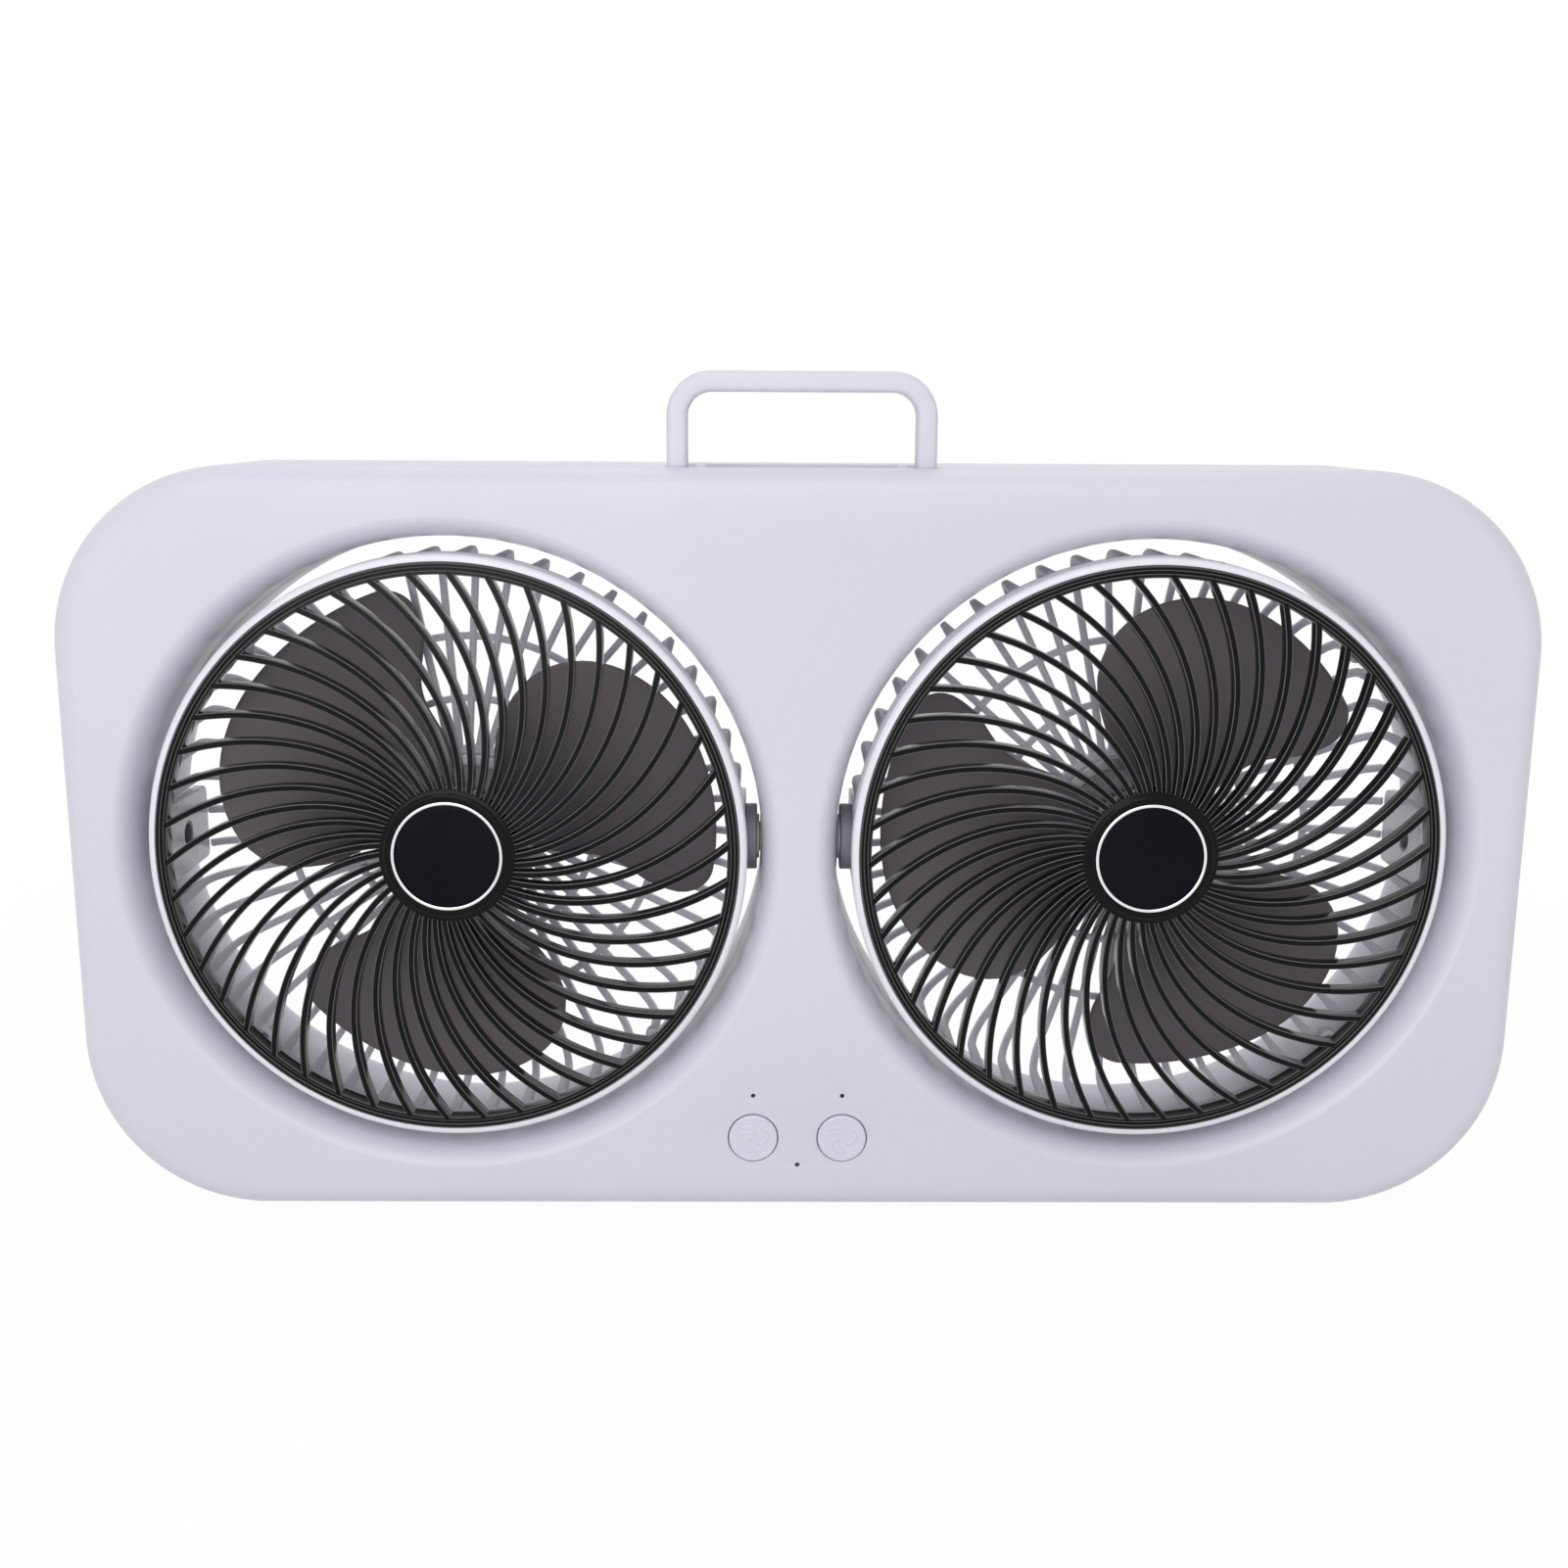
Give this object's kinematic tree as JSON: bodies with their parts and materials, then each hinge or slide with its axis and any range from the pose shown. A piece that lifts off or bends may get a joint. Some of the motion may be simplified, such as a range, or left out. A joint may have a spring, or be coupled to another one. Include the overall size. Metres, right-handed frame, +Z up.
{
  "type": "dual-head desk fan",
  "caption": "Cordless desk fan with two tilting round heads side by side in one rounded housing, with a folding carry handle and front push buttons.",
  "frame": {"origin": "under the middle of the fan, on the surface it stands on", "axes": "+Z up; +X to the right seen from the front; the heads blow towards -Y"},
  "size_m": [0.4288, 0.0642, 0.2508],
  "materials": {
    "housing_white": "moulded plastic, satin to soft gloss, faint lavender white",
    "handle_white": "moulded plastic, satin, same white as the housing",
    "hoop_white": "moulded plastic, soft gloss white",
    "cage_white": "moulded plastic, satin white",
    "button_white": "moulded plastic, satin white",
    "grille_black": "moulded plastic, gloss black",
    "cap_dark": "smooth dark navy black",
    "ring_chrome": "bright plated ring",
    "blade_grey": "moulded plastic, matt dark warm grey",
    "motor_metal": "satin metal can",
    "pivot_grey": "acetal plastic, mid grey",
    "bearing_grey": "acetal plastic, mid grey",
    "washer_nylon": "natural nylon",
    "pin_steel": "bright drawn steel",
    "screw_steel": "zinc plated steel",
    "foot_rubber": "matt black rubber",
    "switch_black": "black switch body",
    "board_green": "green solder mask",
    "light_pipe": "smoked clear plastic, dark when unlit",
    "cell_wrap": null,
    "tray_black": "black moulded plastic",
    "socket_steel": "drawn steel shell",
    "nut_black": "black moulded plastic"
  },
  "bodies": {
    "housing": {"front_shell": "housing_white", "rear_shell": "housing_white", "rubber_feet": "foot_rubber", "shell_screws": "screw_steel", "left_handle_pin": "pin_steel", "right_handle_pin": "pin_steel", "left_switch": "switch_black", "right_switch": "switch_black", "control_board": "board_green", "board_screws": "screw_steel", "light_pipes": "light_pipe", "battery_cells": "cell_wrap", "battery_tray": "tray_black", "charging_socket": "socket_steel", "charging_board": "board_green", "left_outer_bearing": "bearing_grey", "left_inner_bearing": "bearing_grey", "right_inner_bearing": "bearing_grey", "right_outer_bearing": "bearing_grey"},
    "handle": {"carry_handle": "handle_white"},
    "left_button_cap": {"left_button": "button_white"},
    "right_button_cap": {"right_button": "button_white"},
    "left_head": {"left_hoop": "hoop_white", "left_front_grille": "grille_black", "left_hub_cap": "cap_dark", "left_hub_ring": "ring_chrome", "left_rear_grille": "cage_white", "left_cage_screws": "screw_steel", "left_motor": "motor_metal", "left_motor_cover": "cage_white", "left_motor_screws": "screw_steel", "left_outer_pivot": "pivot_grey", "left_inner_pivot": "pivot_grey", "left_friction_washers": "washer_nylon"},
    "left_fan_rotor": {"left_fan": "blade_grey", "left_fan_shaft": "pin_steel", "left_fan_nut": "nut_black"},
    "right_head": {"right_hoop": "hoop_white", "right_front_grille": "grille_black", "right_hub_cap": "cap_dark", "right_hub_ring": "ring_chrome", "right_rear_grille": "cage_white", "right_cage_screws": "screw_steel", "right_motor": "motor_metal", "right_motor_cover": "cage_white", "right_motor_screws": "screw_steel", "right_outer_pivot": "pivot_grey", "right_inner_pivot": "pivot_grey", "right_friction_washers": "washer_nylon"},
    "right_fan_rotor": {"right_fan": "blade_grey", "right_fan_shaft": "pin_steel", "right_fan_nut": "nut_black"}
  },
  "joints": [
    {"name": "left_tilt", "type": "hinge", "parent": "housing", "child": "left_head", "pos_m": [-0.1026, -0.0049, 0.1125], "axis": [1, 0, 0], "range_deg": [-45, 45]},
    {"name": "left_spin", "type": "hinge", "parent": "left_head", "child": "left_fan_rotor", "pos_m": [-0.1026, -0.0057, 0.1125], "axis": [0, 1, 0], "continuous": true},
    {"name": "left_press", "type": "slide", "parent": "housing", "child": "left_button_cap", "axis": [0, 1, 0], "range_m": [0, 0.0012], "stiffness_N_per_m": 300, "springref_m": -0.001},
    {"name": "right_tilt", "type": "hinge", "parent": "housing", "child": "right_head", "pos_m": [0.1026, -0.0049, 0.1125], "axis": [1, 0, 0], "range_deg": [-45, 45]},
    {"name": "right_spin", "type": "hinge", "parent": "right_head", "child": "right_fan_rotor", "pos_m": [0.1026, -0.0057, 0.1125], "axis": [0, 1, 0], "continuous": true},
    {"name": "right_press", "type": "slide", "parent": "housing", "child": "right_button_cap", "axis": [0, 1, 0], "range_m": [0, 0.0012], "stiffness_N_per_m": 300, "springref_m": -0.001},
    {"name": "handle_fold", "type": "hinge", "parent": "housing", "child": "handle", "pos_m": [0, -0.0174, 0.222], "axis": [1, 0, 0], "range_deg": [-90, 0]}
  ]
}
